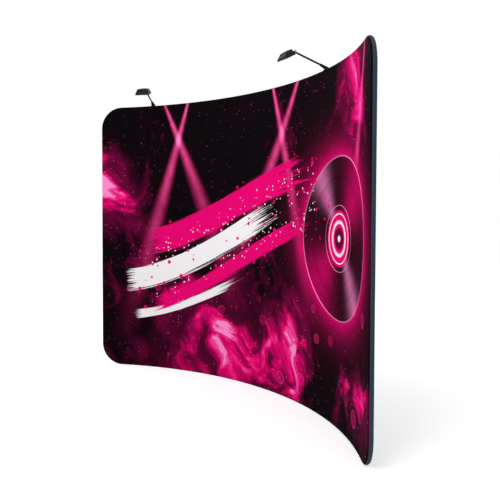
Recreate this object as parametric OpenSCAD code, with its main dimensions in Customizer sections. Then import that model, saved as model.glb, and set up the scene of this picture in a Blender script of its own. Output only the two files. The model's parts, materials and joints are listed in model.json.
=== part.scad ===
// Curved display backwall: a bent tube frame in a stretch fabric cover, with two clip-on arm lamps.
// The origin lies on the floor under the middle of the bottom rail. X runs along the wall, the hollow
// printed side looks towards -Y, and Z is up.

/* [Wall] */
// Height of the wall from the floor to its top edge
panel_h = 2300; // [1900:10:2600]
// Radius of the arc that the rails follow, on the tube's centreline
curve_r = 2070; // [1700:10:2800]
// Half of the angle that the arc spans, in degrees
arc_half = 41; // [30:1:46]
// Radius of the four rounded corners, on the tube's centreline
corner_r = 170; // [120:5:240]

/* [Tubes] */
// Outside diameter of the frame tubes
tube_d = 32; // [28:1:38]
// Wall thickness of the frame tubes
tube_wall = 1.5; // [1.2:0.1:2]
// Length of rail that each corner tube carries before its bend
stub_len = 120; // [90:5:160]
// Length of the sleeve inside each tube joint
spigot_len = 110; // [90:2:140]
// Wall thickness of the sleeve inside each tube joint
spigot_wall = 1.2; // [1:0.1:1.5]
// Radial clearance between a tube and the sleeve in it
spigot_fit = 0.1; // [0.05:0.05:0.2]
// Length of the two stubs that hold the ends of the centre post
post_stub_len = 60; // [40:5:90]

/* [Snap buttons] */
// Diameter of a snap button
button_d = 8; // [6:0.5:9]
// Radial clearance round a snap button
button_fit = 0.1; // [0.05:0.05:0.1]
// Height that a snap button stands out of its tube
button_out = 3; // [2:0.5:4]
// Distance from a tube joint to its snap button
button_reach = 25; // [20:1:35]
// Diameter of the collar that holds a snap button in
collar_d = 10.4; // [10:0.2:11]
// Thickness of the collar
collar_t = 1; // [0.8:0.1:1.4]
// Width of the leaf spring behind a snap button
leaf_w = 8; // [6:0.5:9]
// Thickness of the leaf spring
leaf_t = 0.8; // [0.6:0.1:1]
// Length of the leaf spring along the tube
leaf_len = 44; // [36:1:50]

/* [Cover] */
// Thickness of the cover's fabric
cover_t = 0.8; // [0.6:0.1:1]
// Gap between the tubes and the fabric
cover_gap = 0.3; // [0.2:0.05:0.4]
// Angle from the outermost line of the tube forward to the seam
seam_deg = 28; // [20:1:40]
// Gap between the two cloths at the seam
seam_gap = 0.2; // [0.1:0.1:0.4]
// Depth of the flat that the wall stands on
floor_flat = 0.5; // [0.3:0.1:0.6]

/* [Zip] */
// Height of the zip above the floor
zip_z = 66; // [58:1:90]
// Half of the angle that the zip spans, in degrees
zip_half = 36; // [20:1:38]
// Width of the closed row of teeth
chain_w = 6; // [5:0.5:8]
// Thickness of the row of teeth
chain_t = 2.4; // [2:0.1:3]
// Width of the cloth tape on each side of the teeth
tape_w = 12; // [10:1:16]
// Length of the zip's slider
slider_l = 15; // [12:1:20]
// Thickness of the slider's plate
slider_t = 1.4; // [1.2:0.1:2]
// Length of the zip's pull
pull_l = 30; // [22:1:40]
// Width of the zip's pull
pull_w = 9; // [8:0.5:12]

/* [Lamp places] */
// Place of the left lamp, in degrees from the wall's middle
lamp_left = -32.65; // [-35:0.05:-14]
// Place of the right lamp, in degrees from the wall's middle
lamp_right = 20.23; // [14:0.01:35]
// Angle that the left arm is swung from square, in degrees
pan_left = 9.3; // [-20:0.1:20]
// Angle that the right arm is swung from square, in degrees
pan_right = 4.5; // [-20:0.1:20]

/* [Lamp clamp] */
// Width of the clamp along the rail
clamp_w = 34; // [28:1:44]
// Thickness of the clamp's saddle
clamp_t = 3.3; // [3:0.1:5]
// Thickness of the rubber between clamp and cover
liner_t = 1.2; // [1:0.1:2]
// Angle from the top of the rail to the clamp's front lip, in degrees
lip_deg = 48; // [40:1:60]
// Thickness of the clamp's rear leg
leg_t = 6; // [5:0.5:8]
// Width of the clamp's rear leg
leg_w = 24; // [20:1:28]
// Diameter of the clamp screw
screw_d = 8; // [6:0.5:10]
// Diameter of the clamp screw's knob
knob_d = 30; // [24:1:36]
// Thickness of the knob
knob_t = 14; // [10:1:18]
// Diameter of the clamp's pressure pad
pad_d = 15; // [13:1:16]
// Thickness of the pressure pad
pad_t = 3; // [2:0.5:4]
// Distance that the pad opens
pad_travel = 5; // [3:0.5:6]

/* [Lamp arm] */
// Diameter of the arm
arm_d = 12; // [10:0.5:14]
// Wall thickness of the arm
arm_wall = 1.5; // [1:0.1:2]
// Length from the arm's upright pivot to the head's hinge
arm_len = 250; // [180:5:400]
// Angle that the arm rises forward, in degrees
arm_rise = 18.8; // [5:0.2:35]
// Width of the arm's foot along the rail
foot_w = 32; // [28:1:36]
// Depth of the arm's foot across the rail
foot_d = 22; // [20:1:26]
// Length of the tapered socket from the pivot to its tip
socket_len = 50; // [44:1:70]
// Diameter of the upright pivot bolt
pan_bolt_d = 6; // [5:0.5:7]

/* [Lamp head] */
// Length of the head from rear to front
head_l = 78; // [70:1:120]
// Width of the head
head_w = 118; // [90:1:140]
// Depth of the head from its fins to its glass
head_h = 40; // [36:1:48]
// Depth of the straight rim round the glass
rim_h = 12; // [10:0.5:14]
// Distance that the nose draws in from the rim to the top
nose_in = 30; // [20:1:34]
// Distance that the rear draws in from the rim to the top
rear_in = 9; // [5:0.5:10]
// Distance that each side draws in from the rim to the top
side_in = 12; // [8:0.5:14]
// Distance from the hinge to the head's rear
hinge_back = 31; // [24:1:40]
// Angle that the head's nose hangs down, in degrees
head_dip = 22.8; // [0:0.2:60]
// Depth of the head's heat-sink fins
fin_h = 13; // [8:0.5:15]
// Number of cooling grooves
groove_n = 8; // [5:1:10]
// Width of a cooling groove
groove_w = 5; // [3:0.5:6]
// Thickness of the head's side walls
head_wall = 4; // [3:0.5:6]
// Thickness of the glass
glass_t = 3; // [2:0.5:4]
// Thickness of the frame that holds the glass
bezel_t = 4; // [3:0.5:5]
// Diameter of the hinge bolt
hinge_bolt_d = 6; // [5:0.5:7]
// Bore of the cable gland
gland_bore = 6.4; // [5:0.1:8]

/* [Hidden] */
$fn = 64;

// Gap between pieces that move past each other
run_gap = 0.3;
// Radial clearance of a turning fit
turn_fit = 0.1;
// Gap between pieces that are fixed to each other
seat_gap = 0.1;

tube_r = tube_d / 2;
tube_in = tube_r - tube_wall;
spigot_out = tube_in - spigot_fit;
spigot_in = spigot_out - spigot_wall;
cover_in = tube_r + cover_gap;
cover_r = cover_in + cover_t;
z_low = cover_r - floor_flat;
z_high = panel_h - cover_r;
z_mid = (z_low + z_high) / 2;

// Angles along the arc of the joints and of the buttons beside them
function arc_deg(len) = len / curve_r * 180 / PI;
outer_joint = arc_half - arc_deg(stub_len);
inner_joint = outer_joint / 3;
reach_deg = arc_deg(button_reach);
spigot_half = arc_deg(spigot_len / 2);

// A button's collar bears on the sleeve's wall, and its leaf spring on the wall opposite
collar_top = sqrt(pow(spigot_in, 2) - pow(collar_d / 2, 2)) - run_gap;
leaf_seat = sqrt(pow(spigot_in, 2) - pow(leaf_w / 2, 2)) - run_gap;
button_top = tube_r + button_out;

// ---- Placing ----

// Puts its children on the arc, x along the rail, y to the rear
module on_arc(deg) {
    translate([0, -curve_r, 0]) rotate([0, 0, -deg]) translate([0, curve_r, 0]) children();
}

// Turns a profile of distance from the arc's centre and height back along the rail from x = 0
module sweep_back(deg) {
    translate([0, -curve_r, 0]) rotate([0, 0, 90]) rotate_extrude(angle = deg, $fn = 720) children();
}

// Turns a profile of distance from the arc's centre and height from one angle to another
module sweep(from, to) {
    translate([0, -curve_r, 0]) rotate([0, 0, 90 - to]) rotate_extrude(angle = to - from, $fn = 720) children();
}

// Turns a profile of distance and depth round the lower right corner's centre
module corner_turn() {
    translate([0, 0, z_low + corner_r]) rotate([90, 0, 0]) rotate([0, 0, -90])
        rotate_extrude(angle = 90, $fn = 256) children();
}

// Swaps up and down
module upside_down() {
    translate([0, 0, 2 * z_mid]) mirror([0, 0, 1]) children();
}

module left_side() {
    mirror([1, 0, 0]) children();
}

// ---- Outlines ----

module ring(outer, inner) {
    difference() {
        circle(outer);
        circle(inner);
    }
}

// Part of a ring between two angles less than 180 degrees apart
module ring_part(outer, inner, from, to) {
    far = 2 * outer;
    third = (to - from) / 3;
    intersection() {
        ring(outer, inner);
        polygon(concat([[0, 0]], [for (a = [from, from + third, to - third, to]) far * [cos(a), sin(a)]]));
    }
}

// Rectangle about the origin with round corners
module round_rect(w, d, r) {
    square([w - 2 * r, d], center = true);
    square([w, d - 2 * r], center = true);
    for (x = [-1, 1], y = [-1, 1]) translate([x * (w / 2 - r), y * (d / 2 - r)]) circle(r);
}

// ---- Frame ----

module tube_colour() {
    color("silver") children();
}

module rail_tube(from, to) {
    sweep(from, to) translate([curve_r, z_low]) ring(tube_r, tube_in);
}

// Hole for a button on the top of the lower rail
module rail_button_hole(deg) {
    on_arc(deg) translate([0, 0, z_low]) cylinder(h = tube_r + 1, r = button_d / 2 + button_fit);
}

module rail_side() {
    tube_colour() difference() {
        rail_tube(inner_joint, outer_joint);
        rail_button_hole(inner_joint + reach_deg);
    }
}

// Middle rail section with the welded stub that holds the post
module rail_centre() {
    tube_colour() {
        rail_tube(-inner_joint, inner_joint);
        difference() {
            translate([0, 0, z_low]) linear_extrude(tube_r + post_stub_len) ring(spigot_out, spigot_in);
            sweep(-1, 1) translate([curve_r, z_low]) circle(tube_r - tube_wall / 3);
        }
    }
}

// Corner tube: the end of the rail, the bend and half of the upright
module corner_tube(button_hole) {
    tube_colour() difference() {
        on_arc(arc_half) {
            sweep_back(arc_half - outer_joint) translate([curve_r, z_low]) ring(tube_r, tube_in);
            corner_turn() translate([corner_r, 0]) ring(tube_r, tube_in);
            translate([corner_r, 0, z_low + corner_r]) linear_extrude(z_mid - z_low - corner_r)
                ring(tube_r, tube_in);
        }
        rail_button_hole(outer_joint + reach_deg);
        if (button_hole) side_button() cylinder(h = tube_r + 1, r = button_d / 2 + button_fit);
    }
}

// Puts a button that points up at the lower side of the joint in the right upright
module side_button() {
    on_arc(arc_half) translate([corner_r, 0, z_mid - button_reach]) rotate([0, -90, 0]) children();
}

module post_half() {
    tube_colour() translate([0, 0, z_low + tube_r + run_gap]) linear_extrude(z_mid - z_low - tube_r - run_gap)
        ring(tube_r, tube_in);
}

module post_upper() {
    tube_colour() difference() {
        upside_down() post_half();
        post_button() cylinder(h = tube_r + 1, r = button_d / 2 + button_fit);
    }
}

// Puts a button that points up at the upper side of the joint in the post
module post_button() {
    translate([0, 0, z_mid + button_reach]) rotate([0, 90, 0]) children();
}

// Sleeve in the middle of a straight joint, its button side up
module straight_spigot() {
    difference() {
        translate([0, 0, -spigot_len / 2]) linear_extrude(spigot_len) ring(spigot_out, spigot_in);
        translate([0, 0, button_reach]) rotate([0, 90, 0]) cylinder(h = tube_r, r = button_d / 2 + button_fit);
    }
}

module rail_spigot(deg) {
    difference() {
        sweep(deg - spigot_half, deg + spigot_half) translate([curve_r, z_low]) ring(spigot_out, spigot_in);
        rail_button_hole(deg + reach_deg);
    }
}

module joint_spigots() {
    color("gainsboro") {
        both_rails_and_sides() {
            rail_spigot(inner_joint);
            rail_spigot(outer_joint);
        }
        right_and_left() on_arc(arc_half) translate([corner_r, 0, z_mid]) rotate([0, 0, 180]) straight_spigot();
        translate([0, 0, z_mid]) straight_spigot();
    }
}

module right_and_left() {
    children();
    left_side() children();
}

module both_rails_and_sides() {
    right_and_left() {
        children();
        upside_down() children();
    }
}

// ---- Snap buttons ----

// Button that points up from the tube's centreline
module snap_button() {
    edge_r = 1.4;
    base = collar_top - collar_t;
    shoulder = button_top - edge_r;
    color("lightgray") rotate_extrude() {
        translate([0, base]) square([collar_d / 2, collar_t]);
        translate([0, base]) square([button_d / 2, shoulder - base]);
        translate([0, shoulder - 1]) square([button_d / 2 - edge_r, edge_r + 1]);
        intersection() {
            translate([button_d / 2 - edge_r, shoulder]) circle(edge_r);
            translate([0, shoulder]) square([button_d, edge_r + 1]);
        }
    }
}

// Leaf spring bent to a U, one leg under the button and the other along the wall opposite
module leaf_spring() {
    under = collar_top - collar_t - run_gap - leaf_t / 2;
    low = leaf_t / 2 - leaf_seat;
    bend_r = (under - low) / 2;
    bend_x = bend_r + leaf_t / 2 - leaf_len;
    rotate([90, 0, 0]) linear_extrude(leaf_w, center = true) {
        for (z = [low, under]) translate([bend_x, z - leaf_t / 2]) square([button_d / 2 - bend_x, leaf_t]);
        translate([bend_x, low + bend_r]) intersection() {
            ring(bend_r + leaf_t / 2, bend_r - leaf_t / 2);
            translate([-leaf_len, -leaf_len]) square([leaf_len, 2 * leaf_len]);
        }
    }
}

module rail_button_place(deg) {
    on_arc(deg + reach_deg) translate([0, 0, z_low]) children();
}

module button_springs() {
    color("slategray") {
        both_rails_and_sides() {
            rail_button_place(inner_joint) leaf_spring();
            rail_button_place(outer_joint) leaf_spring();
        }
        right_and_left() upside_down() side_button() mirror([1, 0, 0]) leaf_spring();
        post_button() mirror([1, 0, 0]) leaf_spring();
    }
}

module bottom_button(deg) {
    rail_button_place(deg) snap_button();
}

// ---- Cover ----

// Cloth round an edge tube, cut off at the seam: x points out of the wall, y to the rear.
// An inset makes it thinner on both faces and shorter at the seam.
module wrap(is_front, inset = 0) {
    gap_deg = (seam_gap / 2 + inset) / cover_r * 180 / PI;
    from = is_front ? -90 : -seam_deg + gap_deg;
    to = is_front ? -seam_deg - gap_deg : 90;
    ring_part(cover_r - inset, cover_in + inset, from, to);
}

// Cloth from the bottom edge to the top edge, as distance to the rear and height
module cover_profile(is_front, inset = 0) {
    translate([is_front ? inset - cover_r : cover_in + inset, z_low])
        square([cover_t - 2 * inset, z_high - z_low]);
    translate([0, z_high]) mirror([1, -1]) wrap(is_front, inset);
    translate([0, z_low]) mirror([0, 1]) mirror([1, -1]) wrap(is_front, inset);
}

// Cloth from the corner's centre out and round the upright
module edge_profile(is_front) {
    translate([0, is_front ? -cover_r : cover_in]) square([corner_r, cover_t]);
    translate([corner_r, 0]) wrap(is_front);
}

// Each half is curved, then flat from where its corners begin. A band inside the cloth joins the halves.
module cover_half(is_front) {
    band_w = 4;
    band_inset = 0.25;
    hair_deg = 0.0002;
    right_and_left() on_arc(arc_half) {
        sweep_back(arc_half - hair_deg) translate([curve_r, 0]) cover_profile(is_front);
        corner_turn() mirror([0, 1]) edge_profile(is_front);
        upside_down() corner_turn() mirror([0, 1]) edge_profile(is_front);
        translate([0, 0, z_low + corner_r]) linear_extrude(z_high - z_low - 2 * corner_r)
            edge_profile(is_front);
    }
    rotate([90, 0, 90]) linear_extrude(band_w, center = true) cover_profile(is_front, band_inset);
}

module front_panel() {
    color("mediumvioletred") cover_half(true);
}

module back_panel() {
    reach = curve_r + corner_r;
    slot_h = chain_w + 2 * tape_w;
    color("darkslategray") difference() {
        cover_half(false);
        translate([-reach, -reach, -2 * cover_r]) cube([2 * reach, 2 * reach, 2 * cover_r]);
        sweep(-zip_half, zip_half) translate([curve_r + tube_r, zip_z - slot_h / 2]) square([cover_r, slot_h]);
    }
}

// ---- Zip ----

chain_out = cover_in + chain_t;
slider_in = chain_out + run_gap;
bar_r = 0.9;
bail_y = slider_in + slider_t + bar_r + turn_fit;
slider_deg = zip_half - arc_deg(slider_l + pull_l + 6);

// A band of the zip: its width, how far it starts and ends behind the rail, and how far its ends stay back
module zip_band(width, near, far, back) {
    deg = zip_half - arc_deg(back);
    sweep(-deg, deg) translate([curve_r + near, zip_z - width / 2]) square([far - near, width]);
}

// Tape with the closed row of teeth along its middle and a stop at each end
module zip_chain() {
    stop_l = 4;
    color("dimgray") {
        zip_band(chain_w + 2 * tape_w - 2 * seat_gap, cover_in, cover_r, seat_gap);
        zip_band(chain_w, cover_in + cover_t / 4, chain_out, 2 * stop_l);
        right_and_left() sweep(zip_half - arc_deg(2 * stop_l), zip_half - arc_deg(stop_l))
            translate([curve_r + cover_in + cover_t / 3, zip_z - chain_w / 2 - 1])
                square([chain_t + 1, chain_w + 2]);
    }
}

// Plate of the slider: round at one end and narrowed at the other
module slider_outline(grow) {
    width = chain_w / 2 + run_gap + 1 + grow;
    intersection() {
        square([slider_l, 2 * width], center = true);
        translate([-slider_l / 2 + width, 0]) {
            circle(width);
            polygon([[0, -width], [slider_l, -width * 0.72], [slider_l, width * 0.72], [0, width]]);
        }
    }
}

module zip_slider() {
    arch_h = 2 * bar_r + 2 * turn_fit + 1;
    color("darkgray") on_arc(slider_deg) translate([0, 0, zip_z]) rotate([-90, 0, 0]) {
        translate([0, 0, slider_in]) linear_extrude(slider_t) slider_outline(0.6);
        translate([0, 0, cover_r + run_gap]) linear_extrude(slider_in - cover_r - run_gap + 0.2)
            for (s = [-1, 1]) translate([-slider_l / 2 + 2, s * (chain_w / 2 + run_gap + 0.5) - 0.5])
                square([slider_l - 4, 1]);
        difference() {
            translate([-3.2, -1.3, slider_in + slider_t - 0.2]) cube([6.4, 2.6, arch_h + 0.2]);
            translate([0, -2, bail_y]) rotate([-90, 0, 0]) cylinder(h = 4, r = bar_r + turn_fit, $fn = 32);
        }
    }
}

// Pull with the bar that turns under the slider's arch
module zip_pull() {
    color("darkgray") on_arc(slider_deg) translate([0, bail_y, zip_z]) {
        cylinder(h = pull_w - 2, r = bar_r, center = true, $fn = 32);
        rotate([90, 0, 0]) linear_extrude(1.6, center = true) difference() {
            translate([pull_l / 2, 0]) round_rect(pull_l, pull_w, 3);
            translate([0.6, 0]) square([7.6, 4.4], center = true);
            translate([pull_l - 7, 0]) circle(2, $fn = 32);
        }
    }
}

// ---- Lamps ----

liner_in = cover_r + run_gap;
saddle_in = liner_in + liner_t + seat_gap;
saddle_out = saddle_in + clamp_t;
boss_top = saddle_out + 0.4;
pad_face = cover_r + run_gap;
hub_l = 3;
leg_in = pad_face + pad_t + hub_l + pad_travel + run_gap;
leg_out = leg_in + leg_t;
screw_boss_l = 6;
knob_face = leg_out + screw_boss_l + 2;
foot_z = boss_top + run_gap;
foot_t = 5;
arm_z = foot_z + arm_d / 2 - 0.4;

// Lamp frame: on top of the rail's centreline, x along the rail, y to the rear
module at_lamp(deg) {
    on_arc(deg) translate([0, 0, z_high]) children();
}

// Side view of the block behind the saddle and the leg that hangs from it: x points to the rear
module clamp_outline() {
    bend_r = 9;
    top = boss_top - 0.8;
    difference() {
        union() {
            translate([0, 10]) square([leg_out - bend_r, top - 10]);
            translate([leg_out - bend_r, top - bend_r]) circle(bend_r);
            translate([leg_in, -bend_r]) square([leg_t, top]);
            translate([leg_in + leg_t / 2, -bend_r]) circle(leg_t / 2);
        }
        circle(saddle_in + clamp_t / 2);
        square([leg_in, 10.5]);
    }
}

module clamp_bracket() {
    color("black") difference() {
        union() {
            rotate([90, 0, 90]) linear_extrude(leg_w, center = true) clamp_outline();
            rotate([90, 0, 90]) linear_extrude(clamp_w, center = true)
                ring_part(saddle_out, saddle_in, 30, 90 + lip_deg);
            translate([0, 0, saddle_in + 1]) linear_extrude(boss_top - saddle_in - 1)
                round_rect(foot_w, foot_d, 5);
            translate([0, leg_in, 0]) rotate([-90, 0, 0]) cylinder(h = leg_t + screw_boss_l, r = screw_d);
        }
        translate([0, leg_in - 1, 0]) rotate([-90, 0, 0])
            cylinder(h = leg_t + screw_boss_l + 2, r = screw_d / 2 + turn_fit);
        cylinder(h = boss_top + 1, r = pan_bolt_d / 2 + seat_gap);
    }
}

// Rubber in the saddles of both clamps
module clamp_liners() {
    color("dimgray") for (deg = [lamp_left, lamp_right]) at_lamp(deg) rotate([90, 0, 90])
        linear_extrude(clamp_w - 2, center = true) ring_part(liner_in + liner_t, liner_in, 32, 88 + lip_deg);
}

module clamp_pad() {
    tip_r = screw_d / 2 - 1.5;
    color("dimgray") translate([0, pad_face, 0]) rotate([-90, 0, 0]) difference() {
        union() {
            cylinder(h = pad_t, r = pad_d / 2);
            cylinder(h = pad_t + hub_l, r = screw_d / 2 + 0.6);
        }
        translate([0, 0, pad_t - 1]) cylinder(h = hub_l + 2, r = tip_r + turn_fit);
    }
}

module clamp_screw() {
    tip_r = screw_d / 2 - 1.5;
    tip_y = pad_face + pad_t - 1 + run_gap;
    shank_y = pad_face + pad_t + hub_l + run_gap;
    color("black") rotate([-90, 0, 0]) {
        translate([0, 0, tip_y]) cylinder(h = knob_face - tip_y, r = tip_r);
        translate([0, 0, shank_y]) cylinder(h = knob_face - shank_y + 1, r = screw_d / 2);
        translate([0, 0, knob_face]) linear_extrude(knob_t) difference() {
            circle(knob_d / 2);
            for (i = [0:5]) rotate(i * 60) translate([knob_d / 2 + 2.4, 0]) circle(5);
        }
        translate([0, 0, knob_face - 1.6]) cylinder(h = 2, r = knob_d / 4);
    }
}

// Upright bolts that the arms swing on, each with a socket in its head
module pan_bolts() {
    color("silver") for (deg = [lamp_left, lamp_right]) at_lamp(deg) {
        translate([0, 0, saddle_in]) cylinder(h = foot_z + foot_t - saddle_in + 1, r = pan_bolt_d / 2);
        translate([0, 0, foot_z + foot_t + run_gap]) difference() {
            cylinder(h = 3.4, r = pan_bolt_d * 0.8);
            translate([0, 0, 1.4]) cylinder(h = 3, r = pan_bolt_d / 3.4, $fn = 6);
        }
    }
}

// Frame of the arm: y runs back along it from the pivot
module along_arm() {
    translate([0, 0, arm_z]) rotate([-arm_rise, 0, 0]) children();
}

module arm_foot() {
    color("black") difference() {
        hull() {
            translate([0, 0, foot_z]) linear_extrude(foot_t) round_rect(foot_w, foot_d, 5, $fn = 32);
            along_arm() translate([0, -socket_len, 0]) rotate([-90, 0, 0])
                cylinder(h = 14, r = arm_d / 2 + 2.2, $fn = 32);
        }
        along_arm() translate([0, -14, 0]) rotate([90, 0, 0])
            cylinder(h = socket_len, r = arm_d / 2 + seat_gap / 2);
        cylinder(h = foot_z + foot_t + 1, r = pan_bolt_d / 2 + turn_fit);
        translate([0, 0, foot_z + foot_t]) cylinder(h = 30, r = pan_bolt_d * 0.8 + run_gap);
    }
}

// Arm tube with the flat eye at its end
module arm() {
    eye_w = 16;
    color("black") along_arm() difference() {
        union() {
            translate([0, -14 - run_gap, 0]) rotate([90, 0, 0])
                linear_extrude(arm_len - 14 - run_gap - 12) ring(arm_d / 2, arm_d / 2 - arm_wall);
            translate([0, -arm_len + 20, 0]) rotate([90, 0, 0]) cylinder(h = 10, r = arm_d / 2 - arm_wall / 2);
            translate([0, -arm_len, 0]) rotate([0, 90, 0])
                cylinder(h = eye_w, r = hinge_bolt_d + 2, center = true);
            translate([-eye_w / 2 + 2, -arm_len, -arm_d / 2 + 1]) cube([eye_w - 4, 13, arm_d - 2]);
        }
        translate([0, -arm_len, 0]) rotate([0, 90, 0])
            cylinder(h = eye_w + 2, r = hinge_bolt_d / 2 + turn_fit, center = true);
    }
}

// Frame of the head: hinge at the origin, y runs back from the nose
module at_head() {
    translate([0, -arm_len * cos(arm_rise), arm_z + arm_len * sin(arm_rise)]) rotate([head_dip, 0, 0])
        children();
}

head_mid = -hinge_back - head_l / 2;
head_low = -head_h / 2;
head_top = head_h / 2;
tray_top = head_low + rim_h;
roof = head_top - fin_h - 3;
ceiling = roof - 4;
rim_step = 1.5;
room_w = head_w - 2 * drawn_in(side_in);
room_l = head_l - drawn_in(nose_in) - drawn_in(rear_in);
room_mid = -hinge_back - drawn_in(rear_in) - room_l / 2;
driver_mid = -hinge_back - 22;
ear_in = 8 + run_gap;
ear_t = 5;
window_w = head_w - 18;
window_l = head_l - 18;
glass_w = window_w + 7;
glass_l = window_l + 7;
screw_in = 4.5;

// Distance from the rim's outline to the inner face of a wall that draws in, at the ceiling over the board
function drawn_in(inset) =
    head_wall + rim_step + (inset - rim_step) * (ceiling - tray_top) / (head_h - rim_h - 1);

// One of the two ears that carry the hinge
module ear() {
    rotate([90, 0, 90]) linear_extrude(ear_t) difference() {
        union() {
            circle(hinge_bolt_d + 2);
            polygon([[0, hinge_bolt_d + 2], [-hinge_back - rear_in, roof],
                [-hinge_back - rear_in, head_low + 7], [0, -hinge_bolt_d - 2]]);
        }
        circle(hinge_bolt_d / 2 + seat_gap);
    }
}

// Rim with the shell that rises from it and draws in most at the nose
module head_shell() {
    translate([0, head_mid, head_low + bezel_t + seat_gap]) linear_extrude(rim_h - bezel_t)
        round_rect(head_w, head_l, 7);
    hull() {
        translate([0, head_mid, tray_top]) linear_extrude(1)
            round_rect(head_w - 2 * rim_step, head_l - 2 * rim_step, 6, $fn = 32);
        translate([0, head_mid + (nose_in - rear_in) / 2, head_top - 1]) linear_extrude(1)
            round_rect(head_w - 2 * side_in, head_l - nose_in - rear_in, 8, $fn = 32);
    }
}

module head_housing() {
    pitch = (head_w - 2 * side_in) / groove_n;
    color("dimgray") difference() {
        union() {
            head_shell();
            for (x = [ear_in, -ear_in - ear_t]) translate([x, 0, 0]) ear();
        }
        translate([0, head_mid, head_low]) linear_extrude(rim_h)
            round_rect(head_w - 2 * head_wall - 6, head_l - 2 * head_wall - 6, 4);
        translate([0, room_mid, tray_top - 1]) linear_extrude(ceiling - tray_top + 1)
            round_rect(room_w, room_l, 4);
        translate([0, head_mid, head_low]) linear_extrude(bezel_t + glass_t + 3 * seat_gap)
            round_rect(glass_w + 2 * seat_gap, glass_l + 2 * seat_gap, 8);
        for (i = [0:groove_n - 1])
            translate([(i - groove_n / 2 + 0.5) * pitch - groove_w / 2, head_mid - head_l, roof])
                cube([groove_w, 2 * head_l, head_h]);
        translate([0, driver_mid, roof]) linear_extrude(head_h) round_rect(64, 40, 4);
        for (x = [-1, 1], y = [-1, 1]) screw_place(x, y) cylinder(h = rim_h - 1, r = 1.6, $fn = 24);
        rotate([0, 90, 0]) cylinder(h = 2 * ear_in, r = hinge_bolt_d + 3, center = true);
    }
}

// Places at the four corners of the glass frame
module screw_place(x, y) {
    translate([x * (head_w / 2 - screw_in), head_mid + y * (head_l / 2 - screw_in), head_low]) children();
}

module driver_cover() {
    depth = head_top - roof;
    color("black") translate([0, driver_mid, roof + seat_gap]) difference() {
        union() {
            linear_extrude(depth - seat_gap) round_rect(60, 36, 4);
            linear_extrude(depth + 2) round_rect(52, 28, 4);
        }
        translate([0, 0, -1]) linear_extrude(depth) round_rect(48, 24, 3);
        rotate([-90, 0, 0]) translate([0, -depth / 2, 0]) cylinder(h = 30, r = 5 + seat_gap);
    }
}

module led_board() {
    translate([0, room_mid, ceiling - seat_gap - 1.6]) {
        color("whitesmoke") linear_extrude(1.6) round_rect(room_w - 8, room_l - 8, 2);
        color("khaki") for (x = [-2.5:2.5], y = [-1:1]) translate([x * 13, y * 15, -1])
            linear_extrude(1.2) square(5, center = true);
    }
}

module lens() {
    color("lightsteelblue") translate([0, head_mid, head_low + bezel_t + seat_gap]) linear_extrude(glass_t)
        round_rect(glass_w, glass_l, 8);
}

module bezel() {
    color("black") difference() {
        translate([0, head_mid, head_low]) linear_extrude(bezel_t) difference() {
            round_rect(head_w, head_l, 7);
            round_rect(window_w, window_l, 5);
        }
        for (x = [-1, 1], y = [-1, 1]) screw_place(x, y) cylinder(h = 30, r = 1.6, $fn = 24);
    }
}

module head_screws() {
    color("silver") for (x = [-1, 1], y = [-1, 1]) screw_place(x, y) {
        translate([0, 0, -1.4]) cylinder(h = 1.3, r = 2.8, $fn = 24);
        translate([0, 0, -0.2]) cylinder(h = rim_h - 1.5, r = 1.5, $fn = 24);
    }
}

module cable_gland() {
    color("black") translate([0, driver_mid, (roof + head_top) / 2 + seat_gap]) rotate([-90, 0, 0]) difference() {
        union() {
            translate([0, 0, 13]) cylinder(h = 9, r = 5);
            translate([0, 0, 18.2]) cylinder(h = 4, r = 6.5, $fn = 6);
            translate([0, 0, 22.2]) cylinder(h = 5, r = 5.4);
        }
        translate([0, 0, 12]) cylinder(h = 20, r = gland_bore / 2);
    }
}

// Bolt through the ears and the arm's eye, with its nut
module tilt_bolt() {
    out = ear_in + ear_t + seat_gap;
    color("silver") rotate([0, 90, 0]) {
        translate([0, 0, -out - 6]) cylinder(h = 2 * out + 6, r = hinge_bolt_d / 2);
        translate([0, 0, out]) cylinder(h = 3.5, r = hinge_bolt_d * 0.85);
        translate([0, 0, -out - 5]) difference() {
            cylinder(h = 5, r = hinge_bolt_d * 0.95, $fn = 6);
            translate([0, 0, -1]) cylinder(h = 7, r = hinge_bolt_d / 2 + seat_gap / 2);
        }
    }
}

// Puts its children on a lamp's foot, swung on its pivot
module swung(deg, pan) {
    at_lamp(deg) rotate([0, 0, pan]) children();
}

left_side() upside_down() rail_side();  // top_rail_left
upside_down() rail_centre();  // top_rail_centre
upside_down() rail_side();  // top_rail_right
left_side() rail_side();  // bottom_rail_left
rail_centre();  // bottom_rail_centre
rail_side();  // bottom_rail_right
left_side() upside_down() corner_tube(true);  // corner_top_left
upside_down() corner_tube(true);  // corner_top_right
left_side() corner_tube(false);  // corner_bottom_left
corner_tube(false);  // corner_bottom_right
post_half();  // centre_post_lower
post_upper();  // centre_post_upper
joint_spigots();
button_springs();
left_side() upside_down() bottom_button(outer_joint);  // button_top_outer_left
left_side() upside_down() bottom_button(inner_joint);  // button_top_inner_left
upside_down() bottom_button(inner_joint);  // button_top_inner_right
upside_down() bottom_button(outer_joint);  // button_top_outer_right
left_side() bottom_button(outer_joint);  // button_bottom_outer_left
left_side() bottom_button(inner_joint);  // button_bottom_inner_left
bottom_button(inner_joint);  // button_bottom_inner_right
bottom_button(outer_joint);  // button_bottom_outer_right
left_side() upside_down() side_button() snap_button();  // button_side_left
upside_down() side_button() snap_button();  // button_side_right
post_button() snap_button();  // button_post
front_panel();
back_panel();
zip_chain();
zip_slider();
zip_pull();
clamp_liners();
pan_bolts();
at_lamp(lamp_left) clamp_bracket();  // clamp_bracket_left
at_lamp(lamp_left) clamp_pad();  // clamp_pad_left
at_lamp(lamp_left) clamp_screw();  // clamp_screw_left
swung(lamp_left, pan_left) arm_foot();  // arm_foot_left
swung(lamp_left, pan_left) arm();  // arm_left
swung(lamp_left, pan_left) at_head() head_housing();  // head_housing_left
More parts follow.
